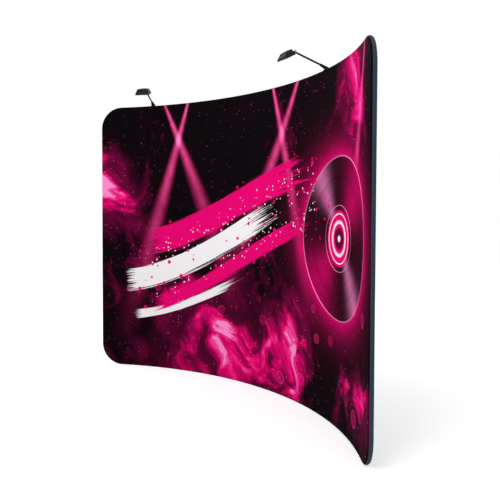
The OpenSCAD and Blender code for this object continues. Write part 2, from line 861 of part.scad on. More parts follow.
swung(lamp_left, pan_left) at_head() driver_cover();  // driver_cover_left
swung(lamp_left, pan_left) at_head() led_board();  // led_board_left
swung(lamp_left, pan_left) at_head() lens();  // lens_left
swung(lamp_left, pan_left) at_head() bezel();  // bezel_left
swung(lamp_left, pan_left) at_head() head_screws();  // head_screws_left
swung(lamp_left, pan_left) at_head() cable_gland();  // cable_gland_left
swung(lamp_left, pan_left) at_head() tilt_bolt();  // tilt_bolt_left
at_lamp(lamp_right) clamp_bracket();  // clamp_bracket_right
at_lamp(lamp_right) clamp_pad();  // clamp_pad_right
at_lamp(lamp_right) clamp_screw();  // clamp_screw_right
swung(lamp_right, pan_right) arm_foot();  // arm_foot_right
swung(lamp_right, pan_right) arm();  // arm_right
swung(lamp_right, pan_right) at_head() head_housing();  // head_housing_right
swung(lamp_right, pan_right) at_head() driver_cover();  // driver_cover_right
swung(lamp_right, pan_right) at_head() led_board();  // led_board_right
swung(lamp_right, pan_right) at_head() lens();  // lens_right
swung(lamp_right, pan_right) at_head() bezel();  // bezel_right
swung(lamp_right, pan_right) at_head() head_screws();  // head_screws_right
swung(lamp_right, pan_right) at_head() cable_gland();  // cable_gland_right
swung(lamp_right, pan_right) at_head() tilt_bolt();  // tilt_bolt_right
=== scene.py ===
"""Dresses a curved fabric display wall with two arm lamps, and sets its light and camera."""

import json
import math

import bmesh
import bpy
from mathutils import Matrix, Vector


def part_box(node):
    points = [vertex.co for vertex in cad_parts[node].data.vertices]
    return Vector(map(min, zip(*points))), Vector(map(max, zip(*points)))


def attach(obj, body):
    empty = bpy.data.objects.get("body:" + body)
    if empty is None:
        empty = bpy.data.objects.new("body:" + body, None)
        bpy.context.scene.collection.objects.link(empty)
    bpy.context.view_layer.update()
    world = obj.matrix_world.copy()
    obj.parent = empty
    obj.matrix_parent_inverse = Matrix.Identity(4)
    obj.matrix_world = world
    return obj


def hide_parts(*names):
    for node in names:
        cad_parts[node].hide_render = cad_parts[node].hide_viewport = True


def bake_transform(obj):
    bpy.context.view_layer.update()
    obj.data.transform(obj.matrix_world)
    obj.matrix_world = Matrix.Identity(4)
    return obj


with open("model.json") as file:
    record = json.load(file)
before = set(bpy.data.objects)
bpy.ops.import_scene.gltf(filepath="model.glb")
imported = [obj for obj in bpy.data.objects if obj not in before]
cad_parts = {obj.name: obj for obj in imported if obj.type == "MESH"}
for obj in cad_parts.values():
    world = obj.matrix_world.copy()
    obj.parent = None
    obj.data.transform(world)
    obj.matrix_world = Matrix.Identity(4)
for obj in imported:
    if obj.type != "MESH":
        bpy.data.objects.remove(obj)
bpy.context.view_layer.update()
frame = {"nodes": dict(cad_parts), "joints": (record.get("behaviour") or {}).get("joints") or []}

bl_info = {
    "name": "Curved Display Wall",
    "version": (1, 0, 0),
    "blender": (4, 5, 0),
    "location": "View3D > Sidebar > Display Wall",
    "description": "Dresses a curved tube frame with printed stretch cloth and two arm lamps",
    "category": "Object",
}

LAMPS = ("left", "right")
CORNER_RINGS = 14  # spans of the cloth's mesh round each corner of the wall
WHITE = (1.0, 1.0, 1.0, 1.0)
KNIT = 7000.0  # radians per metre of the knit, which makes its loops 0.9 mm apart


# ---- Settings ----


def length(name, default, about):
    """Setting in metres."""
    return bpy.props.FloatProperty(
        name=name, description=about, default=default, unit="LENGTH", precision=4
    )


def angle(name, default, about):
    """Setting whose default is given in degrees."""
    return bpy.props.FloatProperty(
        name=name,
        description=about,
        default=math.radians(default),
        unit="ROTATION",
        subtype="ANGLE",
    )


def colour(name, default, about):
    """Linear colour of a material."""
    return bpy.props.FloatVectorProperty(
        name=name, description=about, default=default, size=3, min=0, max=1, subtype="COLOR"
    )


class WallSizes(bpy.types.PropertyGroup):
    """Sizes of the wall's soft pieces."""

    curve_r: length("Curve radius", 2.07, "Radius of the arc that the rails follow")
    arc_half: angle("Half arc", 41, "Half of the angle that the arc spans")
    corner_r: length("Corner radius", 0.17, "Radius of the tube's bend at each corner")
    tube_r: length("Tube radius", 0.016, "Outside radius of the frame's tubes")
    cover_r: length("Cover radius", 0.0171, "Outside radius of the cloth round a tube")
    cloth_t: length("Cloth thickness", 0.0008, "Thickness of the stretch cloth")
    seam: angle("Seam angle", 28, "Angle from the wall's outermost line forward to the seam")
    cell: length("Cloth cell", 0.02, "Size of the cells of the cloth's mesh")
    stitch: length("Stitch pitch", 0.004, "Distance between two stitches of the seam")
    zip_z: length("Zip height", 0.066, "Height of the zip above the floor")
    zip_half: angle("Half zip", 36, "Half of the angle that the zip spans")
    zip_w: length("Zip width", 0.03, "Width of the zip's tape")
    tooth: length("Tooth pitch", 0.003, "Distance between two teeth on one side of the zip")
    leaf_t: length("Leaf thickness", 0.0008, "Thickness of the snap buttons' leaf springs")


class WallColours(bpy.types.PropertyGroup):
    """Colours of the print and of the plain pieces."""

    ground: colour("Print ground", (0.0025, 0.0016, 0.0024), "Near-black of the print")
    wine: colour("Print wine", (0.135, 0.0015, 0.036), "Deep wine red of the print")
    hot: colour("Print magenta", (0.82, 0.001, 0.17), "Hot magenta of the print")
    glow: colour("Print glow", (1.0, 0.28, 0.62), "Pale pink of the print's lights")
    pale: colour("Print white", (0.93, 0.92, 0.94), "White of the print")
    navy: colour("Back cloth", (0.026, 0.047, 0.075), "Plain cloth of the back and the sides")
    thread: colour("Thread", (0.02, 0.033, 0.055), "Thread of the seam")
    black_metal: colour("Black metal", (0.006, 0.006, 0.0065), "Coat of the lamps' arms and clamps")
    head_metal: colour("Head metal", (0.008, 0.008, 0.0085), "Coat of the lamps' heads")
    floor: colour("Floor", (0.9, 0.9, 0.9), "Floor and backdrop")


def sizes():
    return bpy.context.scene.wall_sizes


def colours():
    return bpy.context.scene.wall_colours


def half_arc():
    """Half of the arc that the rails follow, as a length along it."""
    return sizes().curve_r * sizes().arc_half


# ---- Shader maths ----


class Sock:
    """A socket whose arithmetic adds Math nodes to its tree."""

    def __init__(self, finish, socket):
        self.finish = finish
        self.socket = socket

    def math(self, operation, *values, clamp=False):
        settings = {"operation": operation, "use_clamp": clamp}
        return self.finish.add("ShaderNodeMath", settings, dict(enumerate((self, *values))))

    def __add__(self, other):
        return self.math("ADD", other)

    def __sub__(self, other):
        return self.math("SUBTRACT", other)

    def __mul__(self, other):
        return self.math("MULTIPLY", other)

    def __truediv__(self, other):
        return self.math("DIVIDE", other)

    def __pow__(self, other):
        return self.math("POWER", other)

    def __rsub__(self, other):
        return self.finish.add("ShaderNodeMath", {"operation": "SUBTRACT"}, {0: other, 1: self})

    def __rtruediv__(self, other):
        return self.finish.add("ShaderNodeMath", {"operation": "DIVIDE"}, {0: other, 1: self})

    __radd__ = __add__
    __rmul__ = __mul__

    def __abs__(self):
        return self.math("ABSOLUTE")

    def sin(self):
        return self.math("SINE")

    def root(self):
        return self.math("SQRT")

    def exp(self):
        return self.math("EXPONENT")

    def cos(self):
        return self.math("COSINE")

    def high(self, other):
        return self.math("MAXIMUM", other)

    def angle(self, other):
        """Angle whose tangent is this over the other."""
        return self.math("ARCTAN2", other)

    def clamp(self):
        return self.math("MULTIPLY", 1.0, clamp=True)

    def ramp(self, start, end, first, last):
        """From the first value below start to the last above end, smooth between."""
        values = {0: self, 1: start, 2: end, 3: first, 4: last}
        return self.finish.add("ShaderNodeMapRange", {"interpolation_type": "SMOOTHSTEP"}, values)

    def rise(self, start, end):
        """0 below start, 1 above end, smooth between."""
        return self.ramp(start, end, 0.0, 1.0)

    def fall(self, start, end):
        """1 below start, 0 above end, smooth between."""
        return self.ramp(start, end, 1.0, 0.0)


class Finish:
    """The node tree of a material, or of the world, whose nodes all come from add()."""

    def __init__(self, name, kind="materials"):
        self.owner = getattr(bpy.data, kind).new(name)
        self.owner.use_nodes = True
        self.tree = self.owner.node_tree
        self.tree.nodes.clear()

    def add(self, kind, settings=None, inputs=None, output=0):
        """Adds a node, its settings first and then its sockets, and gives one of its outputs."""
        node = self.tree.nodes.new(kind)
        for key, value in (settings or {}).items():
            if key == "stops":
                ramp = node.color_ramp.elements
                ramp.remove(ramp[1])
                ramp[0].position = value[0][0]
                ramp[0].color = (*value[0][1], 1.0)
                for place, shade in value[1:]:
                    ramp.new(place).color = (*shade, 1.0)
            else:
                setattr(node, key, value)
        for key, value in (inputs or {}).items():
            if isinstance(value, Sock):
                self.tree.links.new(value.socket, node.inputs[key])
            else:
                node.inputs[key].default_value = value
        return Sock(self, node.outputs[output]) if node.outputs else None

    def place(self):
        """Object coordinates."""
        return self.add("ShaderNodeTexCoord", output=3)

    def cloth_uv(self):
        """Place in the cloth's flat cut, in metres."""
        return self.add("ShaderNodeUVMap", {"uv_map": "cloth"})

    def split(self, vector):
        node = self.add("ShaderNodeSeparateXYZ", None, {0: vector}).socket.node
        return [Sock(self, output) for output in node.outputs]

    def join(self, x, y, z=0.0):
        return self.add("ShaderNodeCombineXYZ", None, {0: x, 1: y, 2: z})

    def noise(self, vector, scale, detail=3.0, rough=0.55, bend=0.0):
        values = {"Vector": vector, "Scale": scale, "Detail": detail}
        values.update(Roughness=rough, Distortion=bend)
        return self.add("ShaderNodeTexNoise", None, values)

    def mix(self, share, first, second, blend="MIX"):
        """Colour from the first to the second as share goes from 0 to 1."""
        return self.add(
            "ShaderNodeMix",
            {"data_type": "RGBA", "blend_type": blend, "clamp_result": blend != "MIX"},
            {
                0: share,
                6: first if isinstance(first, Sock) else (*first, 1.0),
                7: second if isinstance(second, Sock) else (*second, 1.0),
            },
            2,
        )

    def bump(self, height, strength, distance):
        values = {"Strength": strength, "Distance": distance, "Height": height}
        return self.add("ShaderNodeBump", None, values)

    def surface(self, **sockets):
        """Ends the tree in a Principled shader with these sockets."""
        named = {key.replace("_", " "): value for key, value in sockets.items()}
        shader = self.add("ShaderNodeBsdfPrincipled", None, named)
        self.add("ShaderNodeOutputMaterial", None, {0: shader})
        return self.owner


def shaded(tint, factor, lift=0.0):
    """A colour made darker or paler."""
    return tuple(min(1.0, level * factor + lift) for level in tint)


# ---- Finishes ----


def knit_height(finish, uv):
    """Fine knit of the stretch cloth: rows of small loops."""
    across, along, _ = finish.split(uv)
    rows = (along * KNIT + (across * KNIT).sin() * 0.8).sin()
    columns = (across * KNIT).sin()
    return rows * 0.5 + columns * 0.3


def pull_height(finish, uv):
    """Shallow folds that the stretch pulls out of each corner, and a slack swell elsewhere."""
    across, up, _ = finish.split(uv)
    half = half_arc()
    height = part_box("front_panel")[1].z / 2
    out = (abs(across) - half).high(0.0)
    level = abs(up - height) - (height - sizes().corner_r)
    near = (abs(across) - (half - 0.25)).rise(0.0, 0.4) * level.rise(-0.35, 0.1)
    fan = level.angle(out + 0.08) * 17.0
    folds = (fan + finish.noise(uv, 2.2, 1.0) * 5.0).sin() * near
    slack = finish.noise(uv, 1.3, 1.0)
    return folds * 0.35 + slack


def cloth_relief(finish, uv, knit):
    """Normal of the cloth from its knit and the faint pulls of its stretch."""
    fine = finish.bump(knit_height(finish, uv), knit, 0.0002)
    values = {"Strength": 0.5, "Distance": 0.004, "Height": pull_height(finish, uv), "Normal": fine}
    return finish.add("ShaderNodeBump", None, values)


def plain_cloth(name, tint):
    """Plain dyed cloth, a little flecked and worn."""
    finish = Finish(name)
    uv = finish.cloth_uv()
    fleck = finish.noise(uv, 900.0, 2.0)
    wear = finish.noise(uv, 3.0, 4.0)
    base = finish.mix(fleck.rise(0.3, 0.7), shaded(tint, 0.82), tint)
    base = finish.mix(wear.rise(0.35, 0.8) * 0.35, base, shaded(tint, 1.35))
    return finish.surface(
        Base_Color=base,
        Roughness=fleck * 0.1 + 0.72,
        Normal=cloth_relief(finish, uv, 0.35),
        Specular_IOR_Level=0.12,
        Sheen_Weight=0.04,
    )


def glow_at(across, up, x, z, size):
    """Soft round light of the print round a point."""
    far = (across - x) * (across - x) + (up - z) * (up - z)
    return (far * (-1.0 / size**2)).exp()


def beam(across, up, x, z, lean, spread, reach):
    """Light beam of the print, which comes down from a point and leans by an angle."""
    run = (across - x).angle(z - up)
    side = abs(run - lean).fall(0.0, spread)
    far = ((across - x) * (across - x) + (up - z) * (up - z)).root()
    return side * far.fall(reach * 0.1, reach)


def line_at(distance, radius, width):
    """Line of the print at a distance, with a soft edge."""
    return abs(distance - radius).fall(width * 0.5, width * 0.5 + 0.004)


def brushed(finish, across, up, line, middle, half, width, seed):
    """Share of a dry brush stroke: full at its start, streaked and broken towards its end."""
    offset = (up - line) / width
    reach = (across - middle) / half
    taper = (1.0 - reach * reach).clamp().root()
    hairs = finish.noise(finish.join(across * 0.9 + seed, offset * 5.5), 1.0, 5.0, 0.6)
    streaks = finish.noise(finish.join(across * 2.4 + seed, offset * 17.0), 1.0, 3.0, 0.65)
    inside = (abs(offset) + hairs * 0.8 + streaks * 0.5 - 0.5).fall(0.86, 0.94)
    dry = reach.rise(-0.6, 1.0) * 0.42 + 0.12 + (1.0 - taper) * 0.35
    bristles = (hairs * 0.5 + streaks * 0.6 - dry).rise(0.0, 0.05)
    ends = (abs(reach) + (streaks - 0.5) * 0.5).fall(0.93, 0.97)
    return inside * bristles * ends


def round_lights(finish, uv, scale, size, share, soft):
    """Round lights scattered over the print, one in some of the cells of a Voronoi grid."""
    inputs = {"Vector": uv, "Scale": scale, "Randomness": 1.0}
    settings = {"voronoi_dimensions": "2D", "feature": "F1"}
    far = finish.add("ShaderNodeTexVoronoi", settings, inputs, 0)
    tint = finish.add("ShaderNodeTexVoronoi", settings, inputs, 1)
    pick, grow, fade = finish.split(tint)
    radius = grow * size * 0.75 + size * 0.25
    shown = pick.rise(1.0 - share, 1.0 - share + 0.02)
    disc = (far / radius).fall(1.0 - soft, 1.0)
    rim = abs(far / radius - 0.93).fall(0.02, 0.08)
    return disc * shown * (fade * 0.6 + 0.4), rim * shown * fade


def stage_haze(finish, uv, across, up):
    """Smoke lit from below and from the sides, as a level from 0 to 1, and its fine wisps."""
    glows = (  # place across and up, size, strength
        (-0.95, 0.15, 0.75, 1.1),
        (-1.6, 1.6, 0.6, 1.15),
        (0.15, 0.25, 0.65, 1.0),
        (0.3, 1.95, 0.55, 0.55),
        (1.5, 0.2, 0.5, 1.0),
        (1.3, 2.1, 0.45, 1.3),
        (-0.25, 1.1, 0.75, 0.35),
    )
    lights = sum(glow_at(across, up, x, z, size) * share for x, z, size, share in glows) + 0.09
    drift = finish.noise(uv, 1.3, 2.0, 0.5) * 0.9
    drawn = finish.join(across + drift, up * 0.85 - drift)
    smoke = finish.noise(drawn, 1.9, 8.0, 0.55, 0.16)
    wisps = finish.noise(drawn, 5.5, 8.0, 0.62, 0.4)
    drifting = smoke.rise(0.38, 0.78) * (wisps.rise(0.2, 0.85) * 1.4 + 0.02) * lights
    soft = lights.rise(0.6, 1.2) * (smoke * 0.35 + 0.1)
    return (drifting + soft).clamp(), wisps


def print_colours():
    """Ground, wine, hot, glow and pale colours of the print."""
    inks = colours()
    return [tuple(ink) for ink in (inks.ground, inks.wine, inks.hot, inks.glow, inks.pale)]


def record_disc(finish, base, across, up, x, z, radius):
    """Grooved disc of the print, with fans of light across it and a plain label."""
    ground, wine, hot, glow, pale = print_colours()
    out, rise = across - x, up - z
    away = (out * out + rise * rise).root() / radius
    turn = rise.angle(out)
    halo = ((away - 1.0).high(0.0) * -7.0).exp()
    base = finish.mix(halo * away.rise(0.97, 1.0) * 0.75, base, hot)
    inside = away.fall(0.985, 1.0)
    base = finish.mix(inside, base, ground)
    grooves = (away * 260.0).sin() * 0.35 + 0.65
    tracks = finish.noise(finish.join(away * 14.0, 0.0), 1.0, 1.0) * 0.8 + 0.5
    wide = abs((turn - 0.75).cos()) ** 9.0
    slim = abs((turn + 0.95).cos()) ** 40.0
    shine = inside * grooves * tracks
    base = finish.mix((shine * (wide * 0.85 + 0.05)).clamp(), base, hot)
    base = finish.mix((shine * slim * 0.8).clamp(), base, glow)
    rim = line_at(away, 0.985, 0.012) + line_at(away, 0.40, 0.006)
    base = finish.mix((rim * (wide * 0.7 + 0.5)).clamp(), base, glow)
    base = finish.mix(away.fall(0.335, 0.345), base, hot)
    base = finish.mix(line_at(away, 0.30, 0.010) + line_at(away, 0.20, 0.04) * 0.8, base, pale)
    base = finish.mix(away.fall(0.13, 0.14), base, wine)
    return finish.mix(away.fall(0.035, 0.045), base, pale)


def printed_cloth():
    """Generic stage print: dark ground, magenta smoke, beams, a disc, brush strokes and spatter."""
    ground, wine, hot, glow, pale = print_colours()
    finish = Finish("printed_cloth")
    uv = finish.cloth_uv()
    across, up, _ = finish.split(uv)

    haze, wisps = stage_haze(finish, uv, across, up)
    dusk, blaze = (0.006, 0.0008, 0.0035), (0.9, 0.06, 0.34)
    stops = ((0.0, ground), (0.17, dusk), (0.42, wine), (0.68, hot), (0.87, blaze), (1.0, glow))
    base = finish.add("ShaderNodeValToRGB", {"stops": stops}, {0: haze})

    beams = (  # place across and up, lean, spread, reach
        (-1.15, 2.5, 0.42, 0.085, 2.3),
        (-0.75, 2.55, -0.3, 0.075, 2.6),
        (0.0, 2.6, 0.28, 0.07, 2.4),
        (0.55, 2.6, -0.5, 0.08, 2.5),
        (1.55, 2.55, -0.28, 0.09, 2.2),
    )
    smoky = sum(beam(across, up, *numbers) for numbers in beams) * (wisps * 1.1 + 0.15)
    base = finish.mix((smoky * 1.1).clamp(), base, hot, "SCREEN")
    base = finish.mix((smoky * smoky * 0.55).clamp(), base, glow, "SCREEN")

    wave = (across * 1.7 + 0.75).sin() * 0.2
    under = brushed(finish, across, up, wave + across * 0.1 + 1.42, -0.2, 1.0, 0.15, 7.0)
    base = finish.mix(under, base, hot)
    base = record_disc(finish, base, across, up, 0.98, 1.2, 0.52)
    first = brushed(finish, across, up, wave + across * 0.16 + 1.2, -0.55, 0.88, 0.125, 3.0)
    second = brushed(finish, across, up, wave + across * 0.2 + 0.98, -0.18, 0.98, 0.085, 31.0)
    third = brushed(finish, across, up, wave + across * 0.1 + 0.8, -0.75, 0.6, 0.05, 19.0)
    base = finish.mix(first.high(third), base, pale)
    base = finish.mix(second, base, hot)

    near_stroke = abs(up - (wave + across * 0.12 + 1.2)).fall(0.12, 0.48)
    near_stroke = near_stroke * abs(across + 0.3).fall(0.7, 1.35)
    drops, _ = round_lights(finish, uv, 17.0, 0.3, 0.3, 0.15)
    spray, _ = round_lights(finish, uv, 44.0, 0.36, 0.16, 0.2)
    base = finish.mix((drops * near_stroke).rise(0.12, 0.2), base, hot)
    base = finish.mix((spray * near_stroke * near_stroke).rise(0.3, 0.4), base, pale)
    sparks, _ = round_lights(finish, uv, 38.0, 0.22, 0.12, 0.5)
    base = finish.mix((sparks * (haze * 1.6 + 0.15)).clamp() * 0.8, base, glow)
    lamps, rims = round_lights(finish, uv, 4.6, 0.3, 0.34, 0.1)
    low = (up - abs(across * 0.2)).fall(0.35, 0.95)
    base = finish.mix(lamps * low * 0.4, base, hot, "SCREEN")
    base = finish.mix(rims * low * 0.2, base, glow, "SCREEN")

    fleck = finish.noise(uv, 900.0, 2.0)
    base = finish.mix(fleck.rise(0.35, 0.75) * 0.12, base, ground)
    return finish.surface(
        Base_Color=base,
        Roughness=fleck * 0.1 + 0.7,
        Normal=cloth_relief(finish, uv, 0.3),
        Specular_IOR_Level=0.02,
    )


def metal(name, tint, rough, brush=(1.0, 1.0, 1.0)):
    """Bare metal with faint handling marks. brush is low along the way that it is brushed."""
    finish = Finish(name)
    place = finish.place()
    streaks = finish.add("ShaderNodeMapping", None, {0: place, 3: brush})
    grain = finish.noise(streaks, 400.0, 3.0)
    marks = finish.noise(place, 28.0, 5.0, 0.6)
    base = finish.mix(marks.rise(0.4, 0.75), tint, shaded(tint, 0.88))
    return finish.surface(
        Base_Color=base,
        Metallic=1.0,
        Roughness=grain * 0.12 + marks * 0.1 + (rough - 0.1),
        Normal=finish.bump(grain, 0.15, 0.0001),
    )


def powder_coat(name, tint, rough=0.42):
    """Fine-textured powder coat, a little dusty and paler where it is handled."""
    finish = Finish(name)
    place = finish.place()
    grain = finish.noise(place, 2200.0, 2.0)
    dust = finish.noise(place, 35.0, 5.0, 0.65)
    base = finish.mix(dust.rise(0.5, 0.85) * 0.5, tint, shaded(tint, 1.9, 0.006))
    return finish.surface(
        Base_Color=base,
        Roughness=grain * 0.12 + dust * 0.12 + (rough - 0.1),
        Normal=finish.bump(grain, 0.35, 0.0001),
        Specular_IOR_Level=0.16,
    )


def moulded(name, tint, rough, grain_scale=900.0):
    """Moulded plastic or rubber with a spark-eroded grain."""
    finish = Finish(name)
    place = finish.place()
    grain = finish.noise(place, grain_scale, 3.0)
    bloom = finish.noise(place, 24.0, 4.0)
    base = finish.mix(bloom.rise(0.35, 0.8) * 0.6, tint, shaded(tint, 1.5, 0.006))
    return finish.surface(
        Base_Color=base,
        Roughness=grain * 0.14 + (rough - 0.05),
        Normal=finish.bump(grain, 0.4, 0.00015),
    )


def plain_thread(name, tint):
    """Twisted sewing thread."""
    finish = Finish(name)
    twist = finish.noise(finish.place(), 2600.0, 2.0)
    base = finish.mix(twist, shaded(tint, 0.7), shaded(tint, 1.5))
    return finish.surface(Base_Color=base, Roughness=twist * 0.1 + 0.55, Sheen_Weight=0.2)


def lamp_glass():
    """Toughened glass over the chips, pale at grazing angles, with a trace of dust."""
    finish = Finish("lamp_glass")
    dust = finish.noise(finish.place(), 60.0, 5.0, 0.7)
    return finish.surface(
        Base_Color=finish.mix(dust.rise(0.5, 0.9) * 0.4, (0.72, 0.78, 0.8), (0.85, 0.86, 0.86)),
        Roughness=dust * 0.08 + 0.04,
        Alpha=dust * 0.1 + 0.28,
        Specular_IOR_Level=0.6,
    )


def board_and_chips(node):
    """White board, with yellow phosphor on the faces of its light-emitting chips."""
    mesh = frame["nodes"][node].data
    facing = max(mesh.polygons, key=lambda face: face.area).normal.copy()
    if facing.z > 0:
        facing.negate()
    chip_face = max(facing.dot(vertex.co) for vertex in mesh.vertices)
    finish = Finish(f"{node}_finish")
    place = finish.place()
    dot = {"operation": "DOT_PRODUCT"}
    level = finish.add("ShaderNodeVectorMath", dot, {0: place, 1: facing}, 1)
    tracks = finish.noise(place, 140.0, 1.0)
    grain = finish.noise(place, 900.0, 2.0)
    board = finish.mix(tracks.rise(0.48, 0.52) * 0.25, (0.82, 0.82, 0.8), (0.6, 0.62, 0.6))
    phosphor = finish.mix(grain, (0.75, 0.55, 0.06), (0.85, 0.7, 0.18))
    base = finish.mix(level.rise(chip_face - 0.0005, chip_face - 0.0004), board, phosphor)
    return finish.surface(Base_Color=base, Roughness=tracks * 0.1 + 0.35)


# ---- Mesh helpers ----


def wall_point(across, up, depth):
    """Point of the wall from its way along the curve, its height and its depth behind the tubes."""
    radius, half = sizes().curve_r, half_arc()
    turn = max(-half, min(half, across)) / radius
    straight = across - turn * radius
    reach = radius + depth
    x = reach * math.sin(turn) + straight * math.cos(turn)
    y = reach * math.cos(turn) - radius - straight * math.sin(turn)
    return Vector((x, y, up))


def steps(start, end, cell):
    """Values from start to end, at most a cell apart."""
    count = max(1, math.ceil((end - start) / cell - 1e-6))
    return [start + (end - start) * i / count for i in range(count + 1)]


def tube_levels():
    """Heights of the centrelines of the bottom and top tubes."""
    low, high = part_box("bottom_rail_centre")[0].z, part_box("top_rail_centre")[1].z
    return low + sizes().tube_r, high - sizes().tube_r


def link(name, data):
    """Object in the scene."""
    thing = bpy.data.objects.new(name, data)
    bpy.context.scene.collection.objects.link(thing)
    return thing


def new_object(name, vertices, faces, material, uvs=None):
    """Mesh object with its doubles merged. uvs holds one pair for each vertex."""
    mesh = bpy.data.meshes.new(name)
    mesh.from_pydata(vertices, [], faces)
    if uvs:
        layer = mesh.uv_layers.new(name="cloth")
        for loop in mesh.loops:
            layer.data[loop.index].uv = uvs[loop.vertex_index]
    mesh.materials.append(material)
    shape = bmesh.new()
    shape.from_mesh(mesh)
    bmesh.ops.remove_doubles(shape, verts=shape.verts, dist=1e-5)
    shape.to_mesh(mesh)
    shape.free()
    mesh.shade_smooth()
    return link(name, mesh)


def face_forward(piece, sign):
    """Turns an open cloth so that its faces look to -Y (sign -1) or +Y (sign 1)."""
    shape = bmesh.new()
    shape.from_mesh(piece.data)
    bmesh.ops.recalc_face_normals(shape, faces=shape.faces)
    lean = sum(f.normal.y * f.calc_area() for f in shape.faces)
    if lean * sign < 0:
        bmesh.ops.reverse_faces(shape, faces=shape.faces)
    shape.to_mesh(piece.data)
    shape.free()


class Patchwork:
    """Collects grids of cloth points with their places in the flat cut."""

    def __init__(self):
        self.vertices = []
        self.uvs = []
        self.faces = []

    def grid(self, rows, skip=None):
        """rows holds lists of (point, uv). skip(row, column) leaves a cell out."""
        first = len(self.vertices)
        wide = len(rows[0])
        for row in rows:
            for point, uv in row:
                self.vertices.append(point)
                self.uvs.append(uv)
        for r in range(len(rows) - 1):
            for c in range(wide - 1):
                if skip and skip(r, c):
                    continue
                at = first + r * wide + c
                self.faces.append((at, at + 1, at + wide + 1, at + wide))


def cloth_columns(gap=None):
    """Places along the curved part of the wall where the cloth's mesh has a column of points."""
    columns = steps(-half_arc(), half_arc(), sizes().cell)
    return sorted({*columns, -gap[0], gap[0]}) if gap else columns


def outline_path(columns):
    """Points of the outline at the tube's centre, with the way out, from the bottom left round."""
    half, radius = half_arc(), sizes().corner_r
    low, high = tube_levels()
    uprights = steps(low + radius, high - radius, sizes().cell)
    edges = (
        [(s, low, 0.0, -1.0) for s in columns],
        [(half + radius, z, 1.0, 0.0) for z in uprights],
        [(s, high, 0.0, 1.0) for s in reversed(columns)],
        [(-half - radius, z, -1.0, 0.0) for z in reversed(uprights)],
    )
    sides = ((1, low + radius), (1, high - radius), (-1, high - radius), (-1, low + radius))
    path = []
    for corner, (edge, (side, z)) in enumerate(zip(edges, sides)):
        path += edge
        s = side * half
        for ring in range(1, CORNER_RINGS):
            turn = math.pi / 2 * (corner - 1 + ring / CORNER_RINGS)
            out_s, out_z = math.cos(turn), math.sin(turn)
            path.append((s + radius * out_s, z + radius * out_z, out_s, out_z))
    path.append(path[0])
    return path


def cloth_piece(name, side, material, gap=None):
    """One cloth, side -1 in front or 1 behind. gap is a slot (half width, low, high)."""
    settings = sizes()
    half, radius = half_arc(), settings.corner_r
    low, high = tube_levels()
    depth = side * settings.cover_r
    cloth = Patchwork()

    def at(s, z):
        return wall_point(s, z, depth), (s, z)

    fractions = {round(i / CORNER_RINGS, 6) for i in range(CORNER_RINGS + 1)}
    columns = cloth_columns(gap)
    if gap:
        fractions |= {(low + radius - z) / radius for z in gap[1:]}
    fractions = sorted(fractions)
    rise_low = [low + radius - radius * f for f in reversed(fractions)]
    rise_high = [high - radius + radius * f for f in fractions]
    uprights = steps(low + radius, high - radius, settings.cell)
    levels = rise_low[:-1] + uprights + rise_high[1:]

    def in_gap(r, c):
        if not gap:
            return False
        inside = abs(columns[c] + columns[c + 1]) / 2 < gap[0]
        return inside and gap[1] < (levels[r] + levels[r + 1]) / 2 < gap[2]

    cloth.grid([[at(s, z) for s in columns] for z in levels], in_gap)
    for way in (-1, 1):
        cloth.grid([[at(way * (half + radius * f), z) for f in fractions] for z in uprights])
        for up, centre in ((-1, low + radius), (1, high - radius)):
            fan = []
            for i in range(CORNER_RINGS + 1):
                turn = math.pi / 2 * i / CORNER_RINGS
                out, rise = way * radius * math.sin(turn), up * radius * math.cos(turn)
                fan.append([at(way * half + out * f, centre + rise * f) for f in fractions])
            cloth.grid(fan)
    turns = steps(-math.pi / 2, side * settings.seam, 0.2)
    cloth.grid([wrap_row(place, side, turns, settings.cover_r) for place in outline_path(columns)])
    piece = new_object(name, cloth.vertices, cloth.faces, material, cloth.uvs)
    face_forward(piece, side)
    return piece


def wrap_row(place, side, turns, radius):
    """Points from the face of a cloth round the tube to the seam, where the edge turns in."""
    s, z, out_s, out_z = place
    row = []
    for turn in turns:
        reach, back = radius * math.cos(turn), side * -radius * math.sin(turn)
        row.append((reach, back, radius * (turn + math.pi / 2)))
    reach, back, run = row[-1]
    tuck = 0.0009
    row.append((reach * (1 - tuck / radius), back * (1 - tuck / radius), run + tuck))
    return [
        (
            floor_cut(wall_point(s + out_s * reach, z + out_z * reach, back)),
            (s + out_s * run, z + out_z * run),
        )
        for reach, back, run in row
    ]


def floor_cut(point):
    """Cloth that would dip below the floor lies flat on it."""
    point.z = max(point.z, 0.0)
    return point


def thicken(piece, thickness):
    """Gives an open cloth its thickness on the inner side."""
    wall = piece.modifiers.new("thickness", "SOLIDIFY")
    wall.thickness = thickness
    wall.offset = -1
    wall.use_even_offset = False


def plain_mesh(thing):
    """Mesh that an object's modifiers make, which are then removed."""
    bpy.context.view_layer.update()
    seen = thing.evaluated_get(bpy.context.evaluated_depsgraph_get())
    mesh = bpy.data.meshes.new_from_object(seen)
    thing.modifiers.clear()
    return mesh


def seal(piece):
    """Turns a piece's modifiers into a plain mesh."""
    mesh, old = plain_mesh(piece), piece.data
    piece.data = mesh
    bpy.data.meshes.remove(old)
    mesh.name = piece.name


def middle(points):
    return sum(points, Vector()) / len(points)


